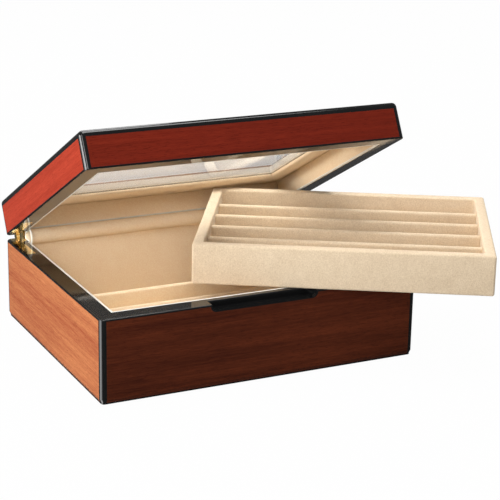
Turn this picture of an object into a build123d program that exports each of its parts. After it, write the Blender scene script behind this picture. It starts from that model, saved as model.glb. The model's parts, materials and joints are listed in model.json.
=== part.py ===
"""Collector chest: a lacquered wooden box with a glazed lid on two quadrant stay hinges,
suede-lined channels in the base, and a lift-out channelled tray.

Frame: millimetres, +Z up, +X to the right, +Y to the back.  The origin is the middle of the
felt underside.  The chest is built as it stands in use: the lid LID_REST degrees open and the
tray lying across the rim of the base.
"""
import os
from math import cos, radians, sin

from build123d import *

# ---------------------------------------------------------------- driving dimensions (mm)
CHEST_W = 235.0          # outside width
CHEST_D = 192.0          # outside depth
BASE_H = 59.5            # table to the rim of the base
LID_H = 26.5             # rim of the lid to its top
PARTING = 1.0            # gap between the two rims when shut
WALL = 12.0              # thickness of every side board
CORNER = 4.0             # square of the black corner posts
CORNER_R = 3.4           # rounding of the outside corners
RIM_T = 1.3              # black lacquered rim frames
RIM_R = 0.7              # rounding of their outer edge and of the recess's lip
FELT_T = 1.0             # felt under the base
FOOT_T = 1.0             # black edge band at the foot of the base
FOOT_IN, FOOT_RISE = 1.0, 2.2        # bevel round the foot of the boards and posts
BOARD_T = 6.0            # bottom board
LINING = 2.2             # suede-covered lining boards
TRIM_H = 1.2             # pale piping on top of the lining boards

RECESS_W = 78.4          # finger recess in the front rim
RECESS_IN = 8.0
RECESS_H = 4.5
RECESS_R = 4.0
RECESS_SHELL = 0.9       # black shell round the recess

DECK_T = 3.0             # padded floor of the base
DIVIDER_T = 4.0          # padded dividers, in the base and in the tray
DECK_DIVIDER_H = 14.0
CHANNELS = 5             # channels in the base and in the tray
LEDGE_W = 5.8            # ledges that carry the tray

TRAY_L, TRAY_W, TRAY_H = 205.0, 150.0, 28.5
TRAY_WALL = 7.5
TRAY_FLOOR = 4.5
TRAY_DIVIDER_DROP = 4.2  # dividers stop this far below the tray's rim
TRAY_AT = (92.0, -39.2)  # middle of the tray as it lies on the rim
TRAY_TURN = -30.5        # degrees
TRAY_LIFT = 0.1          # the suede's nap under the tray

TOP_EDGE_T = 4.8         # black edge ring and veneered top board of the lid
TOP_R = 3.4              # rounding of the edge ring
TOP_STEP = 1.6           # the top board's rebate down between the rails
GLASS_T = 4.8
GLASS_BEVEL = 9.0        # width of the bevel round the glass
GLASS_EDGE = 2.6         # thickness left at its edge
WINDOW_X, WINDOW_Y = 84.0, 50.0      # half sizes of the clear window
BEAD_W = 13.0            # padded bead round the window
BEAD_H = 3.2
WINDOW_LINING = 0.8      # suede-covered strip in the window's opening
WINDOW_CHAMFER = 1.2     # round the top of the opening

HINGE_OUT = 3.2          # hinge axis behind the back face
LID_REST = 28.3          # lid's opening as the chest stands, degrees
LID_MAX = 95.0           # lid's opening at the stays' stop
LEAF_T = 1.0
LEAF_X = (108.6, 115.0)  # inner and outer edge of a leaf on the side rim
LEAF_FRONT = 55.0
LEAF_FOOT_X = 101.0      # inner end of the leaf's foot along the back rim
LEAF_FOOT_Y = 87.0
BARREL_R = 2.6
PIN_R = 1.0
KNUCKLES = ((101.0, 103.6), (103.9, 106.5), (106.8, 109.4))
STAY_R = 21.0            # middle of the stay's strap, from the hinge axis
STAY_W = 3.0
STAY_T = 1.6
STAY_X = 111.2
STAY_GRIP = 5.0          # degrees of strap left in a leaf at either stop
SCREW_R, SCREW_HEAD_R, SCREW_L = 0.9, 1.8, 9.0
SHANK_SIDES = 8          # a shank is out of sight, so its thread is left plain
SCREW_SPOTS = ((111.8, 59.5), (111.8, 69.5), (105.2, 91.0))
FIT = 0.05               # radial running clearance

# ---------------------------------------------------------------- derived places
HALF_W, HALF_D = CHEST_W / 2, CHEST_D / 2
IN_W, IN_D = HALF_W - WALL, HALF_D - WALL            # inner faces of the boards
LINED_W, LINED_D = IN_W - LINING, IN_D - LINING      # inner faces of the lining
WALL_Z0, WALL_Z1 = FELT_T + FOOT_T, BASE_H - RIM_T
DECK_Z = FELT_T + BOARD_T + DECK_T
LEDGE_Z = BASE_H - TRAY_H - 0.8
AXIS_Y, AXIS_Z = HALF_D + HINGE_OUT, BASE_H + PARTING / 2
LID_Z0 = BASE_H + PARTING
LID_Z1 = LID_Z0 + LID_H
RAIL_Z0, RAIL_Z1 = LID_Z0 + RIM_T, LID_Z1 - TOP_EDGE_T
GLASS_Z1 = RAIL_Z1 - TOP_STEP
GLASS_Z0 = GLASS_Z1 - GLASS_T
GLASS_X, GLASS_Y = WINDOW_X + GLASS_BEVEL, WINDOW_Y + GLASS_BEVEL
HINGE_AXIS = Axis((0, AXIS_Y, AXIS_Z), (-1, 0, 0))


# ---------------------------------------------------------------- small helpers
def block(x0, x1, y0, y1, z0, z1):
    """A box between two corners."""
    return Pos((x0 + x1) / 2, (y0 + y1) / 2, (z0 + z1) / 2) * Box(x1 - x0, y1 - y0, z1 - z0)


def slab(half_x, half_y, z0, z1):
    """A box centred on the Z axis."""
    return block(-half_x, half_x, -half_y, half_y, z0, z1)


def upright_edges(shape):
    """The vertical edges at the four outside corners of a slab."""
    edges = shape.edges().filter_by(Axis.Z)
    reach = max(abs(e.center().X) + abs(e.center().Y) for e in edges)
    return [e for e in edges if abs(e.center().X) + abs(e.center().Y) > reach - 0.01]


def edges_at(shape, z):
    """Every edge that lies flat at height z."""
    return [e for e in shape.edges() if all(abs(v.Z - z) < 1e-4 for v in e.vertices())]


def ring(half_x, half_y, in_x, in_y, z0, z1, corner_r=0.0):
    """A flat rectangular frame, its outside corners rounded."""
    outer = slab(half_x, half_y, z0, z1)
    if corner_r:
        outer = fillet(upright_edges(outer), corner_r)
    return outer - slab(in_x, in_y, z0 - 1, z1 + 1)


def board(points, z0, z1):
    """An upright board of the given plan."""
    return Pos(0, 0, z0) * extrude(make_face(Polyline(*points, close=True)), z1 - z0)


def mitred_boards(z0, z1):
    """Front, back, left and right boards, mitred behind the corner posts."""
    front = board([(-HALF_W + CORNER, -HALF_D), (HALF_W - CORNER, -HALF_D),
                   (HALF_W - CORNER, -HALF_D + CORNER), (IN_W, -IN_D),
                   (-IN_W, -IN_D), (-HALF_W + CORNER, -HALF_D + CORNER)], z0, z1)
    left = board([(-HALF_W, -HALF_D + CORNER), (-HALF_W + CORNER, -HALF_D + CORNER),
                  (-IN_W, -IN_D), (-IN_W, IN_D),
                  (-HALF_W + CORNER, HALF_D - CORNER), (-HALF_W, HALF_D - CORNER)], z0, z1)
    return front, mirror(front, Plane.XZ), left, mirror(left, Plane.YZ)


def corner_posts(z0, z1):
    """Four black posts, rounded on their outside edge."""
    post = block(HALF_W - CORNER, HALF_W, HALF_D - CORNER, HALF_D, z0, z1)
    post = fillet(post.edges().filter_by(Axis.Z).sort_by(lambda e: e.center().X + e.center().Y)[-1],
                  CORNER_R)
    other = mirror(post, Plane.YZ)
    return {"back_right": post, "back_left": other,
            "front_right": mirror(post, Plane.XZ), "front_left": mirror(other, Plane.XZ)}


def lining_boards(z0, z1):
    """Front, back, left and right suede-covered boards inside a box."""
    front = block(-LINED_W, LINED_W, -IN_D, -LINED_D, z0, z1)
    left = block(-IN_W, -LINED_W, -IN_D, IN_D, z0, z1)
    return front, mirror(front, Plane.XZ), left, mirror(left, Plane.YZ)


def both_sides(shape):
    """A right-hand piece and its mirror image on the left."""
    return shape, mirror(shape, Plane.YZ)


def swung(shape):
    """A lid piece, turned from shut to the angle at which the lid stands."""
    return shape.rotate(HINGE_AXIS, LID_REST)


def lid_side(shape):
    """A base hinge piece carried over to the lid, across the plane of the hinge axis."""
    return mirror(shape, Plane.XY.offset(AXIS_Z))


# ---------------------------------------------------------------- quadrant stay hinges
def barrel(x0, x1, radius):
    """A round length along the hinge axis."""
    return Pos((x0 + x1) / 2, AXIS_Y, AXIS_Z) * Rot(0, 90, 0) * Cylinder(radius, x1 - x0)


def leaf_plate(grow=0.0):
    """Plan of a right-hand base leaf: a strip on the side rim and a foot on the back rim."""
    top = BASE_H + grow
    strip = block(LEAF_X[0] - grow, LEAF_X[1] + grow, LEAF_FRONT - grow, HALF_D,
                  BASE_H - LEAF_T - grow, top)
    foot = block(LEAF_FOOT_X - grow, LEAF_X[1] + grow, LEAF_FOOT_Y - grow, HALF_D,
                 BASE_H - LEAF_T - grow, top)
    return strip + foot


def stay_slot(z0, z1, y1):
    """The slot that a stay's strap runs in."""
    play = 0.3
    return block(STAY_X - STAY_T / 2 - play, STAY_X + STAY_T / 2 + play,
                 AXIS_Y - STAY_R - STAY_W / 2 - play, y1, z0, z1)


def hinge_leaf(knuckles):
    """A right-hand leaf in the base's position, with barrels over the given knuckles."""
    leaf = leaf_plate()
    for x0, x1 in knuckles:
        leaf += barrel(x0, x1, BARREL_R)
        leaf += block(x0, x1, HALF_D - 0.5, AXIS_Y, BASE_H - LEAF_T, BASE_H)
    leaf -= barrel(LEAF_FOOT_X - 1, LEAF_X[1] + 1, PIN_R + FIT)
    leaf -= stay_slot(BASE_H - LEAF_T - 1, BASE_H + 1,
                      AXIS_Y - STAY_R + STAY_W / 2 + 0.5)
    for x, y in SCREW_SPOTS:
        leaf -= Pos(x, y, BASE_H - LEAF_T / 2) * Cone(SCREW_R + FIT, SCREW_HEAD_R + FIT, LEAF_T)
    return leaf


def hinge_screws():
    """The countersunk screws of a right-hand leaf, in the base's position."""
    screws = []
    for x, y in SCREW_SPOTS:
        head = Pos(x, y, BASE_H - LEAF_T / 2) * Cone(SCREW_R, SCREW_HEAD_R, LEAF_T)
        shank_h = SCREW_L - LEAF_T
        shank = Pos(x, y, BASE_H - LEAF_T) * extrude(RegularPolygon(SCREW_R, SHANK_SIDES), -shank_h)
        drive = Pos(x, y, BASE_H) * Box(2.2 * SCREW_R, 0.5, 0.8)
        screws.append(head + shank - drive)
    return screws


def screw_holes():
    """Pilot holes for the screws of a right-hand leaf."""
    depth = SCREW_L - LEAF_T + 0.5
    hole = extrude(RegularPolygon(SCREW_R + FIT, SHANK_SIDES), -depth)
    return [Pos(x, y, BASE_H - LEAF_T) * hole for x, y in SCREW_SPOTS]


def on_stay(angle, radius):
    """A point of the YZ plane, angle degrees up from the forward side of the hinge axis."""
    return (AXIS_Y - radius * cos(radians(angle)), AXIS_Z + radius * sin(radians(angle)))


def stay_strap():
    """A right-hand stay: a curved strap with round ends that runs in both leaves' slots."""
    low, high = -STAY_GRIP, LID_MAX + STAY_GRIP
    inner, outer = STAY_R - STAY_W / 2, STAY_R + STAY_W / 2
    cap = 90 / (radians(90) * STAY_R) * STAY_W / 2        # degrees that a round end adds
    middle = (low + high) / 2
    outline = Curve() + [
        ThreePointArc(on_stay(low, outer), on_stay(middle, outer), on_stay(high, outer)),
        ThreePointArc(on_stay(high, outer), on_stay(high + cap, STAY_R), on_stay(high, inner)),
        ThreePointArc(on_stay(high, inner), on_stay(middle, inner), on_stay(low, inner)),
        ThreePointArc(on_stay(low, inner), on_stay(low - cap, STAY_R), on_stay(low, outer)),
    ]
    strap = extrude(Plane.YZ * make_face(outline), STAY_T)
    return Pos(STAY_X - STAY_T / 2, 0, 0) * strap


# ---------------------------------------------------------------- base
def foot_bevel():
    """What the bevel round the foot takes off the boards and posts."""
    low = Pos(0, 0, WALL_Z0) * RectangleRounded(
        CHEST_W - 2 * FOOT_IN, CHEST_D - 2 * FOOT_IN, CORNER_R - FOOT_IN)
    high = Pos(0, 0, WALL_Z0 + FOOT_RISE) * RectangleRounded(CHEST_W, CHEST_D, CORNER_R)
    kept = loft([low.face(), high.face()], ruled=True)
    return slab(HALF_W + 1, HALF_D + 1, WALL_Z0, WALL_Z0 + FOOT_RISE) - kept


def scoop(grow=0.0):
    """The finger recess, or with growth its shell: open above, its lower ends rounded."""
    half = RECESS_W / 2 + grow
    hollow = block(-half, half, -HALF_D - 5, -HALF_D + RECESS_IN + grow,
                   BASE_H - RECESS_H - grow, BASE_H + 5)
    return fillet([e for e in hollow.edges().filter_by(Axis.Y) if e.center().Z < BASE_H],
                  RECESS_R + grow / 2)


def base_pieces():
    bevel = foot_bevel()
    front, back, left, right = [piece - bevel for piece in mitred_boards(WALL_Z0, WALL_Z1)]

    shell = scoop(RECESS_SHELL) & slab(HALF_W, HALF_D, 0, WALL_Z1)
    front -= shell

    rim = ring(HALF_W, HALF_D, IN_W, IN_D, WALL_Z1, BASE_H, CORNER_R)
    rim = fillet([e for e in edges_at(rim, BASE_H) if abs(e.center().X) > HALF_W - 1
                  or abs(e.center().Y) > HALF_D - 1], RIM_R)
    lip_y, lip_z = -HALF_D + RECESS_IN + RIM_R, BASE_H - RIM_R
    lip = block(-RECESS_W / 2, RECESS_W / 2, lip_y - RIM_R, lip_y, lip_z, BASE_H + 1)
    lip -= Pos(0, lip_y, lip_z) * Rot(0, 90, 0) * Cylinder(RIM_R, RECESS_W)
    rim = rim + shell - scoop() - lip

    pocket = stay_slot(on_stay(-LID_REST - STAY_GRIP - 6, STAY_R + STAY_W / 2)[1], BASE_H + 1,
                       on_stay(-LID_REST - STAY_GRIP - 6, STAY_R - STAY_W / 2)[0])
    cuts = [leaf_plate(FIT), pocket] + screw_holes()
    for cut in cuts:
        for side in both_sides(cut):
            rim -= side
    for cut in [pocket] + screw_holes():
        right -= cut
        back -= cut
        for_left = mirror(cut, Plane.YZ)
        left -= for_left
        back -= for_left

    felt = fillet(upright_edges(slab(HALF_W - 3, HALF_D - 3, 0, FELT_T)), CORNER_R)
    pieces = {
        "base_felt": felt,
        "base_foot_band": ring(HALF_W - FOOT_IN, HALF_D - FOOT_IN, IN_W, IN_D, FELT_T, WALL_Z0,
                               CORNER_R - FOOT_IN),
        "base_bottom_board": slab(IN_W, IN_D, FELT_T, FELT_T + BOARD_T),
        "base_front_board": front,
        "base_back_board": back,
        "base_left_board": left,
        "base_right_board": right,
        "base_rim_frame": rim,
    }
    for corner, post in corner_posts(WALL_Z0, WALL_Z1).items():
        pieces["base_post_" + corner] = post - bevel

    deck_floor = FELT_T + BOARD_T
    for side, lining in zip(("front", "back", "left", "right"),
                            lining_boards(deck_floor, BASE_H - TRIM_H)):
        pieces["base_lining_" + side] = lining
    pieces["base_piping"] = ring(IN_W, IN_D, LINED_W, LINED_D, BASE_H - TRIM_H, BASE_H)
    pieces["base_deck_pad"] = slab(LINED_W, LINED_D, deck_floor, DECK_Z)
    for side, ledge in zip(("right", "left"), both_sides(
            block(LINED_W - LEDGE_W, LINED_W, -LINED_D, LINED_D, DECK_Z, LEDGE_Z))):
        pieces["base_ledge_" + side] = ledge

    pitch = (2 * LINED_D + DIVIDER_T) / CHANNELS
    for i in range(1, CHANNELS):
        middle = -LINED_D - DIVIDER_T / 2 + i * pitch
        divider = block(-LINED_W + LEDGE_W, LINED_W - LEDGE_W, middle - DIVIDER_T / 2,
                        middle + DIVIDER_T / 2, DECK_Z, DECK_Z + DECK_DIVIDER_H)
        crown = [e for e in edges_at(divider, DECK_Z + DECK_DIVIDER_H)
                 if abs(e.center().Y - middle) > 1]
        pieces[f"base_divider_{i}"] = fillet(crown, 0.47 * DIVIDER_T)
    pieces["rear_roll"] = rear_roll()
    return pieces


def rear_roll():
    """The padded roll that fills the wedge between the two back rims."""
    lid_clear = 0.4
    front_y, back_y = AXIS_Y - 17.8, AXIS_Y - 8.0
    foot = (front_y, BASE_H + FIT)
    heel = (back_y, BASE_H + FIT)
    rise = sin(radians(LID_REST)) / cos(radians(LID_REST))

    def under_lid(y):
        return AXIS_Z + (AXIS_Y - y) * rise + PARTING / 2 / cos(radians(LID_REST)) - lid_clear

    crown = (AXIS_Y - 15.2, under_lid(AXIS_Y - 15.2))
    bulge = (AXIS_Y - 20.9, (BASE_H + crown[1]) / 2)
    outline = Curve() + [Line(foot, heel), Line(heel, (back_y, under_lid(back_y))),
                         Line((back_y, under_lid(back_y)), crown),
                         ThreePointArc(crown, bulge, foot)]
    half_length = IN_W - 0.5
    roll = extrude(Plane.YZ * make_face(outline), 2 * half_length)
    return Pos(-half_length, 0, 0) * roll


# ---------------------------------------------------------------- lid
def window_glass():
    """A glass plate whose underside is bevelled all round."""
    plate = slab(GLASS_X, GLASS_Y, GLASS_Z0, GLASS_Z1)
    under = edges_at(plate, GLASS_Z0)
    return chamfer(under, GLASS_T - GLASS_EDGE, GLASS_BEVEL)


def window_surround():
    """The suede-covered panel that holds the glass, with its padded bead."""
    panel = ring(IN_W, IN_D, GLASS_X, GLASS_Y, GLASS_Z0, GLASS_Z1)
    bead = ring(WINDOW_X + BEAD_W, WINDOW_Y + BEAD_W, WINDOW_X, WINDOW_Y,
                GLASS_Z0 - BEAD_H, GLASS_Z0)
    bead = fillet(edges_at(bead, GLASS_Z0 - BEAD_H), BEAD_H - 0.3)
    return panel + bead


def lid_pieces():
    front, back, left, right = mitred_boards(RAIL_Z0, RAIL_Z1)
    rim = ring(HALF_W, HALF_D, IN_W, IN_D, LID_Z0, RAIL_Z0, CORNER_R)
    rim = fillet([e for e in edges_at(rim, LID_Z0) if abs(e.center().X) > HALF_W - 1
                  or abs(e.center().Y) > HALF_D - 1], RIM_R)

    reach = LID_MAX - LID_REST + STAY_GRIP + 4.5
    pocket = stay_slot(LID_Z0 - 1, on_stay(reach, STAY_R + STAY_W / 2)[1],
                       on_stay(reach, STAY_R - STAY_W / 2)[0])
    holes = [lid_side(hole) for hole in screw_holes()]
    for cut in [lid_side(leaf_plate(FIT)), pocket] + holes:
        for side in both_sides(cut):
            rim -= side
    for cut in [pocket] + holes:
        right -= cut
        back -= cut
        for_left = mirror(cut, Plane.YZ)
        left -= for_left
        back -= for_left

    edge = ring(HALF_W, HALF_D, HALF_W - CORNER, HALF_D - CORNER, RAIL_Z1, LID_Z1, CORNER_R)
    edge = fillet([e for e in edges_at(edge, LID_Z1) if abs(e.center().X) > HALF_W - 1
                   or abs(e.center().Y) > HALF_D - 1], TOP_R)
    window = slab(WINDOW_X, WINDOW_Y, GLASS_Z1 - 1, LID_Z1 + 1)
    top = slab(HALF_W - CORNER, HALF_D - CORNER, RAIL_Z1, LID_Z1)
    top += slab(IN_W, IN_D, GLASS_Z1, RAIL_Z1)
    top -= window
    top = chamfer([e for e in edges_at(top, LID_Z1) if abs(e.center().X) < WINDOW_X + 1
                   and abs(e.center().Y) < WINDOW_Y + 1], WINDOW_CHAMFER)

    pieces = {
        "lid_rim_frame": rim,
        "lid_front_board": front,
        "lid_back_board": back,
        "lid_left_board": left,
        "lid_right_board": right,
        "lid_edge_band": edge,
        "lid_top_board": top,
        "window_glass": window_glass(),
        "window_surround": window_surround(),
        "window_lining": ring(WINDOW_X, WINDOW_Y, WINDOW_X - WINDOW_LINING, WINDOW_Y - WINDOW_LINING,
                              GLASS_Z1, LID_Z1 - WINDOW_CHAMFER - 0.2),
        "lid_piping": ring(IN_W, IN_D, LINED_W, LINED_D, LID_Z0, LID_Z0 + TRIM_H),
        "lid_corner_posts": Compound(list(corner_posts(RAIL_Z0, RAIL_Z1).values())),
    }
    for side, lining in zip(("front", "back", "left", "right"),
                            lining_boards(LID_Z0 + TRIM_H, GLASS_Z0)):
        pieces["lid_lining_" + side] = lining
    return pieces


# ---------------------------------------------------------------- tray
def tray_pieces():
    """The lift-out tray about its own middle, its underside at zero."""
    half_l, half_w = TRAY_L / 2, TRAY_W / 2
    in_l, in_w = half_l - TRAY_WALL, half_w - TRAY_WALL
    soft = 1.5

    front = block(-half_l, half_l, -half_w, -in_w, 0, TRAY_H)
    front = fillet(front.edges().filter_by(Axis.Z).filter_by_position(
        Axis.Y, -half_w - 0.1, -half_w + 0.1), soft)
    front = fillet([e for e in edges_at(front, TRAY_H) if abs(e.center().Y + half_w) < 1], soft)
    left = block(-half_l, -in_l, -in_w, in_w, 0, TRAY_H)
    left = fillet([e for e in edges_at(left, TRAY_H) if e.center().X < -half_l + 0.1], soft)
    pieces = {
        "tray_front_wall": front,
        "tray_back_wall": mirror(front, Plane.XZ),
        "tray_left_wall": left,
        "tray_right_wall": mirror(left, Plane.YZ),
        "tray_floor": slab(in_l, in_w, 0, TRAY_FLOOR),
    }
    pitch = (2 * in_w + DIVIDER_T) / CHANNELS
    top = TRAY_H - TRAY_DIVIDER_DROP
    for i in range(1, CHANNELS):
        middle = -in_w - DIVIDER_T / 2 + i * pitch
        divider = block(-in_l, in_l, middle - DIVIDER_T / 2, middle + DIVIDER_T / 2,
                        TRAY_FLOOR, top)
        crown = [e for e in edges_at(divider, top) if abs(e.center().Y - middle) > 1]
        pieces[f"tray_divider_{i}"] = fillet(crown, 0.47 * DIVIDER_T)
    return pieces


# ---------------------------------------------------------------- assembly
def chest():
    pieces = base_pieces()
    lid = lid_pieces()
    base_leaf = hinge_leaf((KNUCKLES[0], KNUCKLES[2]))
    lid_leaf = lid_side(hinge_leaf((KNUCKLES[1],)))
    pin = barrel(KNUCKLES[0][0], KNUCKLES[-1][1], PIN_R)
    for name, piece in (("hinge_pin", pin), ("stay", stay_strap()), ("base_leaf", base_leaf)):
        for side, copy in zip(("right", "left"), both_sides(piece)):
            pieces[f"{name}_{side}"] = copy
    for side, copy in zip(("right", "left"), both_sides(lid_leaf)):
        lid["lid_leaf_" + side] = copy
    screws = [copy for screw in hinge_screws() for copy in both_sides(screw)]
    pieces["base_leaf_screws"] = Compound(screws)
    lid["lid_leaf_screws"] = Compound([lid_side(screw) for screw in screws])

    pieces.update({name: swung(piece) for name, piece in lid.items()})
    tray_place = Pos(*TRAY_AT, BASE_H + TRAY_LIFT) * Rot(0, 0, TRAY_TURN)
    pieces.update({name: tray_place * piece for name, piece in tray_pieces().items()})
    return pieces


os.makedirs("parts", exist_ok=True)
for node, piece in chest().items():
    export_step(piece, f"parts/{node}.step")
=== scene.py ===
import json
from math import cos, pi, radians, sin, tan

import bmesh
import bpy
from mathutils import Matrix, Vector


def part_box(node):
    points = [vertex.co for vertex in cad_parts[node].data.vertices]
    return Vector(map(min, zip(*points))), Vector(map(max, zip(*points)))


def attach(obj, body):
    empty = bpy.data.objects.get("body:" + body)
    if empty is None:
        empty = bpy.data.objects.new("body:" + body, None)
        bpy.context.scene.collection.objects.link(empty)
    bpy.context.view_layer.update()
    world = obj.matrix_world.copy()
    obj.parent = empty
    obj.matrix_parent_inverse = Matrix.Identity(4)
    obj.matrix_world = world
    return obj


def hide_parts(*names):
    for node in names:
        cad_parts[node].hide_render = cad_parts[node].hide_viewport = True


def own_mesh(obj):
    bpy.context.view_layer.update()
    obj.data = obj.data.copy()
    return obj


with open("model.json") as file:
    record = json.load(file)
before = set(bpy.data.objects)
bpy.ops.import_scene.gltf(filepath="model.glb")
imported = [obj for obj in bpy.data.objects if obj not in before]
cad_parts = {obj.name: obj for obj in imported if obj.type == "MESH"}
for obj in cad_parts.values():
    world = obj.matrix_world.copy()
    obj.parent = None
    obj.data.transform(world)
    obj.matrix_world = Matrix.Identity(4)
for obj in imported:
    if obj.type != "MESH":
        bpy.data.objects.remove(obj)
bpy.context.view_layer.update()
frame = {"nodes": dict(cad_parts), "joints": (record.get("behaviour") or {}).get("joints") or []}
nodes = frame["nodes"]


# ---- The view and the studio.
# The chest stands on a pale sweep and is seen from its front left corner, a little from above.
# Four soft boxes light it in a dim room: low at the left, front left, overhead and behind.
eye = Vector((-0.4677, -1.0118, 0.4146))
view_yaw, view_pitch, view_roll = radians(26.44), radians(17.40), radians(1.14)
focal_px, picture_px, film_mm = 1630.3, 500, 36.0
nearest_seen, farthest_seen = 0.05, 50

ahead = Vector((sin(view_yaw) * cos(view_pitch), cos(view_yaw) * cos(view_pitch), -sin(view_pitch)))
level = Vector((cos(view_yaw), -sin(view_yaw), 0))
upright = level.cross(ahead)
across = level * cos(view_roll) + upright * sin(view_roll)
upward = across.cross(ahead)

camera_data = bpy.data.cameras.new("view")
camera_data.sensor_width = film_mm
camera_data.lens = film_mm * focal_px / picture_px
camera_data.clip_start, camera_data.clip_end = nearest_seen, farthest_seen
camera = bpy.data.objects.new("view", camera_data)
camera.matrix_world = Matrix.LocRotScale(eye, Matrix((across, upward, -ahead)).transposed(), None)
bpy.context.scene.collection.objects.link(camera)
bpy.context.scene.camera = camera
bpy.context.scene.view_settings.view_transform = "Standard"


def new_finish(name):
    """A new material, its node tree and its Principled shader."""
    made = bpy.data.materials.new(name)
    made.use_nodes = True
    return made, made.node_tree, made.node_tree.nodes["Principled BSDF"]


def add_node(tree, kind, **settings):
    """A new node of a tree, with its own settings."""
    node = tree.nodes.new(kind)
    for key, value in settings.items():
        setattr(node, key, value)
    return node


def wire(tree, source, target):
    """Joins two sockets, each given as a node and a socket name or number."""
    tree.links.new(source[0].outputs[source[1]], target[0].inputs[target[1]])


def add_math(tree, operation, *terms, **settings):
    """One operation on a few terms, each a number or a socket as wire takes it."""
    node = add_node(tree, "ShaderNodeMath", operation=operation, **settings)
    for place, term in enumerate(terms):
        if isinstance(term, tuple):
            wire(tree, term, (node, place))
        else:
            node.inputs[place].default_value = term
    return node


def add_range(tree, source, low, high, to_low, to_high):
    """A value carried over from one span to another."""
    node = add_node(tree, "ShaderNodeMapRange")
    node.inputs["From Min"].default_value = low
    node.inputs["From Max"].default_value = high
    node.inputs["To Min"].default_value = to_low
    node.inputs["To Max"].default_value = to_high
    wire(tree, source, (node, "Value"))
    return node


def show_both(tree, share, first, second):
    """Puts a mix of two shaders on the surface, the second one in the given share."""
    both = add_node(tree, "ShaderNodeMixShader")
    wire(tree, share, (both, "Fac"))
    wire(tree, (first, 0), (both, 1))
    wire(tree, (second, 0), (both, 2))
    wire(tree, (both, 0), (tree.nodes["Material Output"], "Surface"))


# The sweep is white to the camera and through the glass, and dim where gloss mirrors it. At the
# left of the front left post it glows to gloss alone: a painted reflection for the front left
# posts.
sweep_colour, sweep_half, sweep_drop = (0.45, 0.45, 0.44, 1), 6.0, 0.0002
white_to_view, shine_in_gloss, painted_glint_glow = 0.985, 0.11, 5.0
post_foot, way_to_painted_glint = (-0.1155, -0.094, 0), (-0.99, 0.12, 0)
painted_glint_begins, painted_glint_full = 0.80, 0.98
bpy.ops.object.select_all(action="DESELECT")
bpy.ops.mesh.primitive_plane_add(size=2 * sweep_half, location=(0, 0, -sweep_drop))
sweep = bpy.context.object
sweep.name = "sweep"
sweep_finish, tree, shader = new_finish("pale sweep")
shader.inputs["Base Color"].default_value = sweep_colour
shader.inputs["Roughness"].default_value = 0.9
shader.inputs["Specular IOR Level"].default_value = 0.1
ray = add_node(tree, "ShaderNodeLightPath")
seen = add_math(tree, "MAXIMUM", (ray, "Is Camera Ray"), (ray, "Is Transmission Ray"))
seen_white = add_math(tree, "MULTIPLY", (seen, 0), white_to_view)
mirrored = add_math(tree, "SUBTRACT", (ray, "Is Glossy Ray"), (ray, "Is Transmission Ray"),
                    use_clamp=True)
share = add_math(tree, "MAXIMUM", (seen_white, 0), (mirrored, 0))
spot = add_node(tree, "ShaderNodeTexCoord")
from_post = add_node(tree, "ShaderNodeVectorMath", operation="SUBTRACT")
from_post.inputs[1].default_value = post_foot
bearing = add_node(tree, "ShaderNodeVectorMath", operation="NORMALIZE")
leftward = add_node(tree, "ShaderNodeVectorMath", operation="DOT_PRODUCT")
leftward.inputs[1].default_value = way_to_painted_glint
wire(tree, (spot, "Object"), (from_post, 0))
wire(tree, (from_post, 0), (bearing, 0))
wire(tree, (bearing, 0), (leftward, 0))
# Painted reflection: to glossy rays a wedge of the sweep left of the post glows far brighter than
# its lamps light it.
painted_glint = add_range(tree, (leftward, "Value"), painted_glint_begins, painted_glint_full,
                 shine_in_gloss - 1, painted_glint_glow - 1)
shine = add_math(tree, "MULTIPLY_ADD", (mirrored, 0), (painted_glint, 0), 1)
glow = add_node(tree, "ShaderNodeEmission")
wire(tree, (shine, 0), (glow, "Strength"))
show_both(tree, (share, 0), shader, glow)
sweep.data.materials.append(sweep_finish)

# The room is pale up to a little over the horizon and dim above, and plain white to the camera.
pale_up_to, dim_from, pale_room, dim_room = 0.06, 0.16, 0.50, 0.17
room = bpy.data.worlds.new("room")
bpy.context.scene.world = room
room.use_nodes = True
tree = room.node_tree
heading = add_node(tree, "ShaderNodeTexCoord")
split = add_node(tree, "ShaderNodeSeparateXYZ")
ray = add_node(tree, "ShaderNodeLightPath")
wire(tree, (heading, "Generated"), (split, 0))
fade = add_range(tree, (split, "Z"), pale_up_to, dim_from, pale_room, dim_room)
brightest = add_math(tree, "MAXIMUM", (fade, 0), (ray, "Is Camera Ray"))
wire(tree, (brightest, 0), (tree.nodes["Background"], "Strength"))
tree.nodes["Background"].inputs["Color"].default_value = (1, 1, 1, 1)


def soft_box(name, place, aim, width, height, watts):
    """A rectangular lamp that faces a point."""
    lamp = bpy.data.lights.new(name, "AREA")
    lamp.shape = "RECTANGLE"
    lamp.size, lamp.size_y = width, height
    lamp.energy = watts
    holder = bpy.data.objects.new(name, lamp)
    holder.location = place
    holder.rotation_euler = (Vector(aim) - Vector(place)).to_track_quat("-Z", "Y").to_euler()
    bpy.context.scene.collection.objects.link(holder)


chest_middle = (0.02, 0, 0.07)
soft_box("left_box", (-1.40, -0.08, 0.38), chest_middle, 1.05, 0.5, 19)
soft_box("front_box", (-0.75, -1.05, 0.80), chest_middle, 1.0, 0.35, 6)
soft_box("top_box", (0.10, -0.10, 1.60), chest_middle, 1.2, 0.9, 22)
soft_box("back_box", (0.12, 1.12, 1.30), chest_middle, 1.0, 0.9, 13)


# ---- Veneered side boards and top.
# Boards faced with red-brown ribbon-striped veneer under a thick clear gloss lacquer.
# The grain runs along every board, so each direction has its own finish; the finishes' shades are
# partly painted light and shade.
lid_joint = next(joint for joint in frame["joints"] if joint["name"] == "lid_close")
hinge = Vector(lid_joint["pos_m"])
lid_angle = radians(-lid_joint["range_deg"][0])


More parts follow.
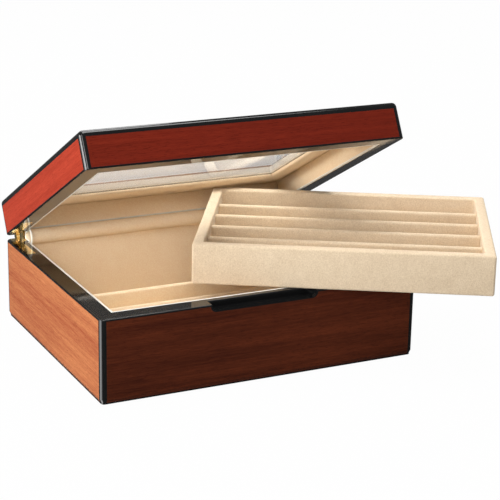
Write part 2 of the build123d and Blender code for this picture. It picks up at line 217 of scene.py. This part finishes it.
def new_effect(name, inputs, outputs):
    """A shader node group with named sockets, its input node and its output node."""
    group = bpy.data.node_groups.new(name, "ShaderNodeTree")
    for label, kind in inputs.items():
        group.interface.new_socket(label, in_out="INPUT", socket_type=kind)
    for label in outputs:
        group.interface.new_socket(label, in_out="OUTPUT", socket_type="NodeSocketFloat")
    return group, group.nodes.new("NodeGroupInput"), group.nodes.new("NodeGroupOutput")


def add_noise(tree, source, **values):
    """Plain noise, fed with coordinates and set to its own values."""
    node = add_node(tree, "ShaderNodeTexNoise")
    wire(tree, source, (node, "Vector"))
    for key, value in values.items():
        node.inputs[key].default_value = value
    return node


def add_effect(tree, group, source, **values):
    """A group's node in a tree, fed with coordinates and set to its own values."""
    node = add_node(tree, "ShaderNodeGroup", node_tree=group)
    wire(tree, source, (node, "Vector"))
    for key, value in values.items():
        node.inputs[key].default_value = value
    return node


def add_mix(tree, first, second, share):
    """A mix of two masks, the second one in the given share."""
    node = add_node(tree, "ShaderNodeMix")
    node.inputs["Factor"].default_value = share
    wire(tree, first, (node, 2))
    wire(tree, second, (node, 3))
    return node


def add_shades(tree, source, dark, light, dark_at=0, light_at=1):
    """A mask coloured from a dark shade to a light one."""
    node = add_node(tree, "ShaderNodeValToRGB")
    first, last = node.color_ramp.elements[0], node.color_ramp.elements[1]
    first.position, first.color = dark_at, (*dark, 1)
    last.position, last.color = light_at, (*light, 1)
    wire(tree, source, (node, "Fac"))
    return node


def add_relief(tree, shader, source, depth, strength=1):
    """A mask turned into relief on a shader's surface."""
    node = add_node(tree, "ShaderNodeBump")
    node.inputs["Strength"].default_value = strength
    node.inputs["Distance"].default_value = depth
    wire(tree, source, (node, "Height"))
    wire(tree, (node, 0), (shader, "Normal"))


def add_ripple(tree, spot, shader, depth):
    """The faint unevenness of sprayed and polished lacquer."""
    swell = add_noise(tree, (spot, "Object"), Scale=34, Detail=1)
    add_relief(tree, shader, (swell, "Fac"), depth)


streaks, gate, out = new_effect(
    "streaks", {"Vector": "NodeSocketVector", "Along": "NodeSocketFloat",
                "Across": "NodeSocketFloat", "Waver": "NodeSocketFloat"}, ["Value"])
stretch = add_node(streaks, "ShaderNodeCombineXYZ")
stretched = add_node(streaks, "ShaderNodeVectorMath", operation="MULTIPLY")
wire(streaks, (gate, "Along"), (stretch, "X"))
wire(streaks, (gate, "Across"), (stretch, "Y"))
wire(streaks, (gate, "Across"), (stretch, "Z"))
wire(streaks, (gate, "Vector"), (stretched, 0))
wire(streaks, (stretch, 0), (stretched, 1))
grain_noise = add_noise(streaks, (stretched, 0), Scale=1, Detail=3)
wire(streaks, (gate, "Waver"), (grain_noise, "Distortion"))
wire(streaks, (grain_noise, "Fac"), (out, "Value"))

# Painted light and shade: the sides' shades are lighter for the strong light from the left, the
# base front's darker for its shade.
shaded_front_tones = ((0.047, 0.0100, 0.0047), (0.135, 0.0290, 0.0108))
warm = ((0.095, 0.0088, 0.0042), (0.215, 0.0215, 0.0090))
lit_lid_side_tones = ((0.310, 0.0270, 0.0110), (0.530, 0.0620, 0.0270))
lit_base_side_tones = ((0.320, 0.0680, 0.0270), (0.620, 0.2350, 0.0920))
mottle_share, ribbon_share, fibre_share = 0.35, 0.34, 0.30
dark_grain, light_grain = 0.37, 0.63
pore_begins, pore_full, pore_strength, pore_shade = 0.58, 0.70, 0.7, 0.5
veneer_ripple = 0.00012


def veneer(name, shades, turn, start):
    """The lacquered veneer, its grain turned from the X axis and cut from its own place."""
    made, tree, shader = new_finish(name)
    spot = add_node(tree, "ShaderNodeTexCoord")
    place = add_node(tree, "ShaderNodeMapping")
    place.inputs["Rotation"].default_value = turn
    place.inputs["Location"].default_value = start
    wire(tree, (spot, "Object"), (place, "Vector"))
    figure = add_effect(tree, streaks, (place, 0), Along=2.2, Across=62, Waver=0.35)
    mottle = add_effect(tree, streaks, (place, 0), Along=8, Across=30, Waver=0.3)
    ribbon = add_effect(tree, streaks, (place, 0), Along=6, Across=330, Waver=0.30)
    fibre = add_effect(tree, streaks, (place, 0), Along=85, Across=1900, Waver=0.15)
    pores = add_effect(tree, streaks, (place, 0), Along=260, Across=3900, Waver=0)
    cloud = add_mix(tree, (figure, 0), (mottle, 0), mottle_share)
    tone = add_mix(tree, (cloud, 0), (ribbon, 0), ribbon_share)
    fine = add_mix(tree, (tone, 0), (fibre, 0), fibre_share)
    wood = add_shades(tree, (fine, 0), *shades, dark_grain, light_grain)
    fleck = add_range(tree, (pores, 0), pore_begins, pore_full, 0, pore_strength)
    darkened = add_node(tree, "ShaderNodeMix", data_type="RGBA")
    darkened.inputs[7].default_value = (*(pore_shade * c for c in shades[0]), 1)
    wire(tree, (fleck, 0), (darkened, "Factor"))
    wire(tree, (wood, "Color"), (darkened, 6))
    wire(tree, (darkened, 2), (shader, "Base Color"))
    add_ripple(tree, spot, shader, veneer_ripple)
    shader.inputs["Roughness"].default_value = 0.04
    shader.inputs["Specular IOR Level"].default_value = 0.20
    return made


quarter = pi / 2
veneer_across = veneer("veneer across the front", shaded_front_tones, (0, 0, 0), (0, 0, 0))
veneer_behind = veneer("veneer across the back", warm, (0, 0, 0), (0.4, 0.3, 0))
veneer_side = veneer("veneer along the base sides", lit_base_side_tones, (0, 0, -quarter), (0.2, 0.7, 0.1))
veneer_lid = veneer("veneer across the lid front", warm, (lid_angle, 0, 0), (0.9, 0.2, 0.4))
veneer_lid_side = veneer("veneer along the lid sides", lit_lid_side_tones, (lid_angle, 0, -quarter),
                         (0.6, 0.1, 0.8))
veneer_top = veneer("veneer on the lid top", warm, (lid_angle, 0, 0), (1.3, 0.5, 0.2))


def dress(finish, *names):
    """Gives CAD pieces their finish."""
    for name in names:
        nodes[name].data.materials.clear()
        nodes[name].data.materials.append(finish)


dress(veneer_across, "base_front_board")
dress(veneer_behind, "base_back_board", "lid_back_board")
dress(veneer_side, "base_left_board", "base_right_board")
dress(veneer_lid, "lid_front_board")
dress(veneer_lid_side, "lid_left_board", "lid_right_board")
dress(veneer_top, "lid_top_board")


# ---- Corner posts, rims and edge bands.
# Solid wood edgings, rounded over and sprayed with black gloss lacquer. They cover the corners
# and edges of the boards, and carry a faint haze of handling.
lacquer_ripple, glossiest, haziest = 0.00003, 0.03, 0.09
black_lacquer, tree, shader = new_finish("black gloss lacquer")
spot = add_node(tree, "ShaderNodeTexCoord")
haze = add_noise(tree, (spot, "Object"), Scale=45, Detail=4)
polish = add_range(tree, (haze, "Fac"), 0, 1, glossiest, haziest)
tint = add_shades(tree, (haze, "Fac"), (0.0040, 0.0042, 0.0044), (0.0085, 0.0086, 0.0088))
wire(tree, (polish, 0), (shader, "Roughness"))
wire(tree, (tint, "Color"), (shader, "Base Color"))
shader.inputs["Specular IOR Level"].default_value = 0.48
add_ripple(tree, spot, shader, lacquer_ripple)
base_posts = [f"base_post_{y}_{x}" for y in ("front", "back") for x in ("left", "right")]
dress(black_lacquer, "base_rim_frame", "base_foot_band", "lid_rim_frame", "lid_edge_band",
      "lid_corner_posts", *base_posts)


# ---- Bottom board and felt.
# A plain board is let in between the sides.
# A sheet of black pressed felt is glued under the chest.
bare_board, tree, shader = new_finish("bare board")
spot = add_node(tree, "ShaderNodeTexCoord")
chips = add_effect(tree, streaks, (spot, "Object"), Along=300, Across=500, Waver=0.4)
tint = add_shades(tree, (chips, 0), (0.30, 0.21, 0.12), (0.52, 0.40, 0.26))
wire(tree, (tint, "Color"), (shader, "Base Color"))
shader.inputs["Roughness"].default_value = 0.8
dress(bare_board, "base_bottom_board")


def only(piece):
    """Selects one object alone and makes it active."""
    bpy.ops.object.select_all(action="DESELECT")
    piece.select_set(True)
    bpy.context.view_layer.objects.active = piece


def round_over(piece, width, steps=3):
    """Rounds the sharp edges of a mesh and shades it smooth."""
    only(piece)
    rounding = piece.modifiers.new("rounded", "BEVEL")
    rounding.width = width
    rounding.segments = steps
    bpy.ops.object.modifier_apply(modifier=rounding.name)
    bpy.ops.object.shade_smooth_by_angle(angle=radians(50))


def new_block(name, low, high):
    """A block between two corners, its place in its mesh."""
    bpy.ops.object.select_all(action="DESELECT")
    bpy.ops.mesh.primitive_cube_add(size=1, location=(low + high) / 2, scale=high - low)
    block = bpy.context.object
    block.name = name
    bpy.ops.object.transform_apply(location=True, rotation=True, scale=True)
    return block


def fix(piece, body, finish, slot, *replaced, turn=None):
    """Turns a finished piece to its place, gives it its finish and ties it to its body."""
    if turn is not None:
        piece.data.transform(turn)
    piece.data.materials.clear()
    piece.data.materials.append(finish)
    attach(piece, body)
    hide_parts(*replaced)


felt_relief, felt_edge = 0.0004, 0.0004
felt_finish, tree, shader = new_finish("pressed felt")
spot = add_node(tree, "ShaderNodeTexCoord")
wool = add_noise(tree, (spot, "Object"), Scale=900, Detail=5)
tint = add_shades(tree, (wool, "Fac"), (0.010, 0.010, 0.011), (0.050, 0.050, 0.052))
add_relief(tree, shader, (wool, "Fac"), felt_relief)
wire(tree, (tint, "Color"), (shader, "Base Color"))
shader.inputs["Roughness"].default_value = 1.0
shader.inputs["Sheen Weight"].default_value = 0.3
felt = new_block("felt_sheet", *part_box("base_felt"))
round_over(felt, felt_edge, 2)
fix(felt, "base", felt_finish, "felt", "base_felt")


# ---- Suede linings, deck and ledges of the base.
# Thin boards wrapped in short-nap beige suede, painted lighter for the shade inside, stand round
# the inside, and a padded deck lies on the bottom. The nap lies in soft patches, lighter where it
# is stroked one way.
pile_share, hairs_in_shade, hairs_in_height = 0.78, 0.30, 0.45
dark_nap, light_nap = 0.39, 0.61
nap, gate, out = new_effect("nap", {"Vector": "NodeSocketVector"}, ["Shade", "Height"])
patches = add_noise(nap, (gate, "Vector"), Scale=110, Detail=4, Distortion=0.5)
pile = add_noise(nap, (gate, "Vector"), Scale=1050, Detail=4, Roughness=0.65)
hairs = add_noise(nap, (gate, "Vector"), Scale=2600, Detail=2)
coarse = add_mix(nap, (patches, "Fac"), (pile, "Fac"), pile_share)
shade = add_mix(nap, (coarse, 0), (hairs, "Fac"), hairs_in_shade)
height = add_mix(nap, (pile, "Fac"), (hairs, "Fac"), hairs_in_height)
wire(nap, (shade, 0), (out, "Shade"))
wire(nap, (height, 0), (out, "Height"))


def suede_of(name, dark, light, pile_height):
    """Short-nap suede between two shades."""
    made, tree, shader = new_finish(name)
    spot = add_node(tree, "ShaderNodeTexCoord")
    surface = add_effect(tree, nap, (spot, "Object"))
    tint = add_shades(tree, (surface, "Shade"), dark, light, dark_nap, light_nap)
    add_relief(tree, shader, (surface, "Height"), pile_height, strength=0.8)
    wire(tree, (tint, "Color"), (shader, "Base Color"))
    shader.inputs["Roughness"].default_value = 0.95
    shader.inputs["Specular IOR Level"].default_value = 0.15
    shader.inputs["Sheen Weight"].default_value = 0.25
    shader.inputs["Sheen Roughness"].default_value = 0.45
    shader.inputs["Sheen Tint"].default_value = (1.0, 0.90, 0.76, 1)
    return made


# Painted light: this suede is painted lighter than the tray's cream suede, to make up for the shade
# inside the chest.
suede = suede_of("beige suede painted lighter", (0.870, 0.665, 0.445), (0.955, 0.795, 0.580), 0.0004)
lining_edge, ledge_edge, deck_edge = 0.0004, 0.0010, 0.0009

for side in ("front", "back", "left", "right"):
    lining = new_block(f"suede_lining_{side}", *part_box(f"base_lining_{side}"))
    round_over(lining, lining_edge)
    fix(lining, "base", suede, "suede", f"base_lining_{side}")
for side in ("left", "right"):
    ledge = new_block(f"suede_ledge_{side}", *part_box(f"base_ledge_{side}"))
    round_over(ledge, ledge_edge)
    fix(ledge, "base", suede, "suede", f"base_ledge_{side}")

deck = new_block("suede_deck", *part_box("base_deck_pad"))
round_over(deck, deck_edge)
fix(deck, "base", suede, "suede", "base_deck_pad")


# ---- Dividers of the base.
# Strips of board wrapped in suede stand on the deck and part it into five channels.
# Their tops are rounded over by the fold of the suede.
fold_share, divider_edge = 0.48, 0.0003
same_height, end_edge = 1e-5, 0.01


def new_divider(name, low, high):
    """A divider with a rounded top, between two corners."""
    divider = new_block(name, low, high)
    only(divider)
    bpy.ops.object.mode_set(mode="EDIT")
    mesh = bmesh.from_edit_mesh(divider.data)
    for edge in mesh.edges:
        on_top = all(abs(v.co.z - high.z) < same_height for v in edge.verts)
        edge.select_set(on_top and abs(edge.verts[0].co.x - edge.verts[1].co.x) > end_edge)
    bmesh.update_edit_mesh(divider.data)
    bpy.ops.mesh.bevel(offset=fold_share * (high.y - low.y), segments=6, affect="EDGES")
    bpy.ops.object.mode_set(mode="OBJECT")
    round_over(divider, divider_edge, 2)
    return divider


divider_nodes = sorted(name for name in nodes if name.startswith("base_divider_"))
for number, node in enumerate(divider_nodes, 1):
    divider = new_divider(f"suede_divider_{number}", *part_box(node))
    fix(divider, "base", suede, "suede", node)


# ---- Piping of base and lid.
# An ivory cord of woven cloth is glued along the linings, mitred at the corners.
# It stands up from the linings of the base and hangs down from those of the lid.
ivory, tree, shader = new_finish("ivory piping cloth")
spot = add_node(tree, "ShaderNodeTexCoord")
twill = add_effect(tree, streaks, (spot, "Object"), Along=1500, Across=1500, Waver=0.3)
tint = add_shades(tree, (twill, 0), (0.91, 0.87, 0.78), (0.98, 0.96, 0.90))
add_relief(tree, shader, (twill, 0), 0.0001)
wire(tree, (tint, "Color"), (shader, "Base Color"))
shader.inputs["Roughness"].default_value = 0.55


def new_moulding(name, half_x, half_y, wide, seat, rise, steps=8):
    """A rectangular frame of half-round section: its outer half sizes, its width, and its seat's
    height. A negative rise lets it stand down from the seat."""
    bpy.ops.object.select_all(action="DESELECT")
    bpy.ops.mesh.primitive_plane_add(size=2, location=(0, 0, seat))
    moulding = bpy.context.object
    moulding.name = name
    moulding.scale = (half_x, half_y, 1)
    bpy.ops.object.transform_apply(location=True, rotation=True, scale=True)
    bpy.ops.object.mode_set(mode="EDIT")
    if rise < 0:
        bpy.ops.mesh.flip_normals()
    for step in range(steps):
        turn_from, turn_to = pi * step / steps, pi * (step + 1) / steps
        bpy.ops.mesh.inset(thickness=wide / 2 * (cos(turn_from) - cos(turn_to)),
                           depth=abs(rise) * (sin(turn_to) - sin(turn_from)), use_even_offset=True)
    bpy.ops.mesh.delete(type="FACE")
    bpy.ops.mesh.select_non_manifold()
    bpy.ops.mesh.bridge_edge_loops()
    bpy.ops.mesh.select_all(action="SELECT")
    bpy.ops.mesh.normals_make_consistent(inside=False)
    bpy.ops.object.mode_set(mode="OBJECT")
    bpy.ops.object.shade_smooth_by_angle(angle=radians(40))
    return moulding


# The pieces of the lid are made as it lies shut, and then turned with it to where it stands.
to_standing = (Matrix.Translation(hinge) @ Matrix.Rotation(-lid_angle, 4, "X")
               @ Matrix.Translation(-hinge))
to_shut = to_standing.inverted()


def box_from(name, turn):
    """Lowest and highest corner of a CAD piece after a turn."""
    spots = [turn @ vertex.co for vertex in nodes[name].data.vertices]
    return (Vector([min(s[i] for s in spots) for i in range(3)]),
            Vector([max(s[i] for s in spots) for i in range(3)]))


piping_wide, piping_rise = 0.0023, 0.0012
low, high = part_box("base_piping")
piping = new_moulding("ivory_piping_base", high.x, high.y, piping_wide, high.z - piping_rise,
                      piping_rise)
fix(piping, "base", ivory, "piping", "base_piping")
low, high = box_from("lid_piping", to_shut)
piping = new_moulding("ivory_piping_lid", high.x, high.y, piping_wide, low.z + piping_rise,
                      -piping_rise)
fix(piping, "lid", ivory, "piping", "lid_piping", turn=to_standing)


# ---- Padded roll between the back rims.
# A foam roll in a suede cover lies in the wedge behind the lining. It is flat where the rims press
# it, bulges to the inside over the edges of both pipings, and has ivory piping at both ends.
roll_low, roll_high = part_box("rear_roll")
roll_radius, cord_radius, roll_bulge, roll_sink = 0.0061, 0.0008, 0.0018, 0.0020
foam_inset, foam_slack, rim_gap = 0.0003, 0.0005, 0.0001
mesh_grain, foam_pressure, swell_frames, swell_reach = 0.0011, 4, 15, 0.0007
roll_middle = Vector((0, roll_low.y + roll_radius - roll_bulge,
                      roll_low.z + roll_radius - roll_sink))
roll_stretch = (roll_high.y - roll_middle.y) / roll_radius
base_inner_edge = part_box("base_lining_back")[0]
lid_inner_edge = to_standing @ Vector((0, box_from("lid_lining_back", to_shut)[0].y,
                                       box_from("lid_piping", to_shut)[0].z))


def lid_face(y):
    """Height of the lid's rim face above a place in the wedge."""
    return lid_inner_edge.z + (lid_inner_edge.y - y) * tan(lid_angle) - rim_gap


def press(spot, slack):
    """Presses a point of the roll flat against the rims and the back, leaving some slack."""
    spot.y = min(spot.y, roll_high.y - slack)
    if spot.y > lid_inner_edge.y - slack:
        spot.z = min(spot.z, lid_face(spot.y) - slack)
    if spot.y > base_inner_edge.y - slack:
        spot.z = max(spot.z, roll_low.z + slack)
    return spot


def limit(piece, before, reach):
    """Keeps each point of a swollen piece within reach of where it was."""
    for vertex, spot in zip(piece.data.vertices, before):
        moved = vertex.co - spot
        if moved.length > reach:
            vertex.co = spot + moved * (reach / moved.length)


bpy.ops.object.select_all(action="DESELECT")
bpy.ops.mesh.primitive_cylinder_add(vertices=48, radius=roll_radius - foam_inset,
                                    depth=roll_high.x - roll_low.x - cord_radius,
                                    location=roll_middle, rotation=(0, quarter, 0))
roll = bpy.context.object
roll.name = "suede_roll"
bpy.ops.object.transform_apply(location=True, rotation=True, scale=True)
for vertex in roll.data.vertices:
    if vertex.co.y > roll_middle.y:
        vertex.co.y = roll_middle.y + (vertex.co.y - roll_middle.y) * roll_stretch
    vertex.co = press(vertex.co, foam_slack)
remesh = roll.modifiers.new("even", "REMESH")
remesh.mode = "VOXEL"
remesh.voxel_size = mesh_grain
bpy.ops.object.modifier_apply(modifier=remesh.name)
bpy.ops.object.shade_smooth()
before = [vertex.co.copy() for vertex in roll.data.vertices]
swell = roll.modifiers.new("swell", "CLOTH")
swell.settings.use_pressure = True
swell.settings.uniform_pressure_force = foam_pressure
swell.settings.effector_weights.gravity = 0
for number in range(1, swell_frames + 1):
    bpy.context.scene.frame_set(number)
bpy.ops.object.modifier_apply(modifier=swell.name)
bpy.context.scene.frame_set(1)
limit(roll, before, swell_reach)
smoothing = roll.modifiers.new("smoothing", "SMOOTH")
smoothing.iterations = 6
bpy.ops.object.modifier_apply(modifier=smoothing.name)
for vertex in roll.data.vertices:
    vertex.co = press(vertex.co, 0)
fix(roll, "base", suede, "suede", "rear_roll")
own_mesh(roll)

for side, x in (("left", roll_low.x + cord_radius), ("right", roll_high.x - cord_radius)):
    bpy.ops.object.select_all(action="DESELECT")
    bpy.ops.mesh.primitive_torus_add(major_segments=72, minor_segments=12,
                                     major_radius=roll_radius, minor_radius=cord_radius,
                                     location=(x, *roll_middle.yz), rotation=(0, quarter, 0))
    cord = bpy.context.object
    cord.name = f"roll_piping_{side}"
    bpy.ops.object.transform_apply(location=True, rotation=True, scale=True)
    for vertex in cord.data.vertices:
        around = Vector((0, *(vertex.co - roll_middle).yz)).normalized() * roll_radius
        offset = vertex.co - Vector((vertex.co.x, *(roll_middle + around).yz))
        if around.y > 0:
            around.y *= roll_stretch
        core = press(Vector((vertex.co.x, *(roll_middle + around).yz)), cord_radius)
        vertex.co = core + offset
    bpy.ops.object.shade_smooth()
    fix(cord, "base", ivory, "piping")
    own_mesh(cord)


# ---- Linings of the lid and the window surround.
# The inside of the lid is lined like the base. A suede-covered panel holds the glass, suede lines
# its opening, painted paler for the light falling on it, and a padded bead runs round the window
# with mitred corners.
for side in ("front", "back", "left", "right"):
    lining = new_block(f"suede_lid_lining_{side}", *box_from(f"lid_lining_{side}", to_shut))
    round_over(lining, lining_edge)
    fix(lining, "lid", suede, "suede", f"lid_lining_{side}", turn=to_standing)

glass_low, glass_high = box_from("window_glass", to_shut)
bead_low, panel_high = box_from("window_surround", to_shut)
panel_half = box_from("lid_piping", to_shut)[1]
panel_edge, level_face = 0.0003, 0.9


def new_frame(name, half_x, half_y, in_x, in_y, bottom, top):
    """A flat rectangular frame of rectangular section, centred on the upright axis."""
    frame_piece = new_block(name, Vector((-half_x, -half_y, bottom)), Vector((half_x, half_y, top)))
    bpy.ops.object.mode_set(mode="EDIT")
    mesh = bmesh.from_edit_mesh(frame_piece.data)
    for face in mesh.faces:
        face.select_set(abs(face.normal.z) > level_face)
    bmesh.update_edit_mesh(frame_piece.data)
    bpy.ops.mesh.inset(thickness=min(half_x - in_x, half_y - in_y), use_individual=True)
    mesh = bmesh.from_edit_mesh(frame_piece.data)
    for vertex in {v for face in mesh.faces if face.select for v in face.verts}:
        vertex.co.x = in_x if vertex.co.x > 0 else -in_x
        vertex.co.y = in_y if vertex.co.y > 0 else -in_y
    bmesh.update_edit_mesh(frame_piece.data)
    bpy.ops.mesh.bridge_edge_loops()
    bpy.ops.object.mode_set(mode="OBJECT")
    return frame_piece


panel = new_frame("surround_panel", panel_half.x, panel_half.y, glass_high.x, glass_high.y,
                  glass_low.z, panel_high.z)
round_over(panel, panel_edge, 2)
fix(panel, "lid", suede, "suede", "window_surround", turn=to_standing)

# Painted light: the strip's suede is painted paler to stand for the light falling on it through the
# window.
suede_painted_lit = suede_of("suede painted lit by the window", (0.88, 0.82, 0.72), (0.95, 0.91, 0.84), 0.0003)
strip_low, strip_high = box_from("window_lining", to_shut)
strip_thick, strip_edge = 0.0008, 0.0002
strip = new_frame("window_strip", strip_high.x, strip_high.y, strip_high.x - strip_thick,
                  strip_high.y - strip_thick, strip_low.z, strip_high.z)
round_over(strip, strip_edge, 2)
fix(strip, "lid", suede_painted_lit, "suede", "window_lining", turn=to_standing)

bead_wide, bead_lap = 0.013, 0.009
bead_half = (glass_high.x - bead_lap + bead_wide, glass_high.y - bead_lap + bead_wide)
bead = new_moulding("window_bead", *bead_half, bead_wide, glass_low.z, bead_low.z - glass_low.z,
                    steps=14)
fix(bead, "lid", suede, "suede", turn=to_standing)


# ---- Window glass.
# A plate of clear glass with a wide polished bevel round its underside.
# It lies in the surround, and the padded bead laps its edge from below.
clear_glass, tree, shader = new_finish("clear glass")
shader.inputs["Base Color"].default_value = (0.95, 0.95, 0.93, 1)
shader.inputs["Transmission Weight"].default_value = 1.0
shader.inputs["Roughness"].default_value = 0.0
shader.inputs["IOR"].default_value = 1.5
ray = add_node(tree, "ShaderNodeLightPath")
let_through = add_node(tree, "ShaderNodeBsdfTransparent")
let_through.inputs["Color"].default_value = (0.93, 0.93, 0.91, 1)
show_both(tree, (ray, "Is Shadow Ray"), shader, let_through)
dress(clear_glass, "window_glass")


# ---- Hinges.
# Two quadrant stay hinges of polished brass, let into the rims and screwed down.
# Each has two leaves on a pin, and a curved stay that slides in slots through both leaves.
brightest_brass, dullest_brass = 0.07, 0.26
brass, tree, shader = new_finish("polished brass")
spot = add_node(tree, "ShaderNodeTexCoord")
buffing = add_effect(tree, streaks, (spot, "Object"), Along=900, Across=5200, Waver=0.2)
wear = add_range(tree, (buffing, 0), 0, 1, brightest_brass, dullest_brass)
tint = add_shades(tree, (buffing, 0), (0.80, 0.55, 0.20), (0.98, 0.83, 0.47))
wire(tree, (wear, 0), (shader, "Roughness"))
wire(tree, (tint, "Color"), (shader, "Base Color"))
shader.inputs["Metallic"].default_value = 1.0
hinge_parts = ("base_leaf", "lid_leaf", "stay", "hinge_pin")
dress(brass, "base_leaf_screws", "lid_leaf_screws",
      *(f"{part}_{side}" for part in hinge_parts for side in ("left", "right")))


# ---- Tray.
# A shallow case of board, wrapped inside and out in cream suede, with four dividers.
# It lies across the rim, turned, and hangs out over the front and the right.
tray_yaw = radians(-30.5)
tray_wall, tray_board, tray_edge = 0.0075, 0.0045, 0.0016
floor_low, floor_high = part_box("tray_floor")
tray_spot = (floor_low + floor_high) / 2
to_rim = (Matrix.Translation((tray_spot.x, tray_spot.y, floor_low.z))
          @ Matrix.Rotation(tray_yaw, 4, "Z"))
to_flat = to_rim.inverted()
tray_half = box_from("tray_front_wall", to_flat)
tray_corner = Vector((tray_half[1].x, -tray_half[0].y, tray_half[1].z))
cream = suede_of("cream suede", (0.635, 0.485, 0.327), (0.800, 0.652, 0.472), 0.0006)

case = new_block("suede_tray", Vector((-tray_corner.x, -tray_corner.y, 0)), tray_corner)
only(case)
bpy.ops.object.mode_set(mode="EDIT")
mesh = bmesh.from_edit_mesh(case.data)
for face in mesh.faces:
    face.select_set(face.normal.z > level_face)
bmesh.update_edit_mesh(case.data)
bpy.ops.mesh.inset(thickness=tray_wall)
bpy.ops.mesh.extrude_region_move(
    TRANSFORM_OT_translate={"value": (0, 0, tray_board - tray_corner.z)})
bpy.ops.object.mode_set(mode="OBJECT")
round_over(case, tray_edge, 4)
fix(case, "tray", cream, "suede", "tray_front_wall", "tray_back_wall", "tray_left_wall",
    "tray_right_wall", "tray_floor", turn=to_rim)

divider_nodes = sorted(name for name in nodes if name.startswith("tray_divider_"))
for number, node in enumerate(divider_nodes, 1):
    divider = new_divider(f"suede_tray_divider_{number}", *box_from(node, to_flat))
    fix(divider, "tray", cream, "suede", node, turn=to_rim)
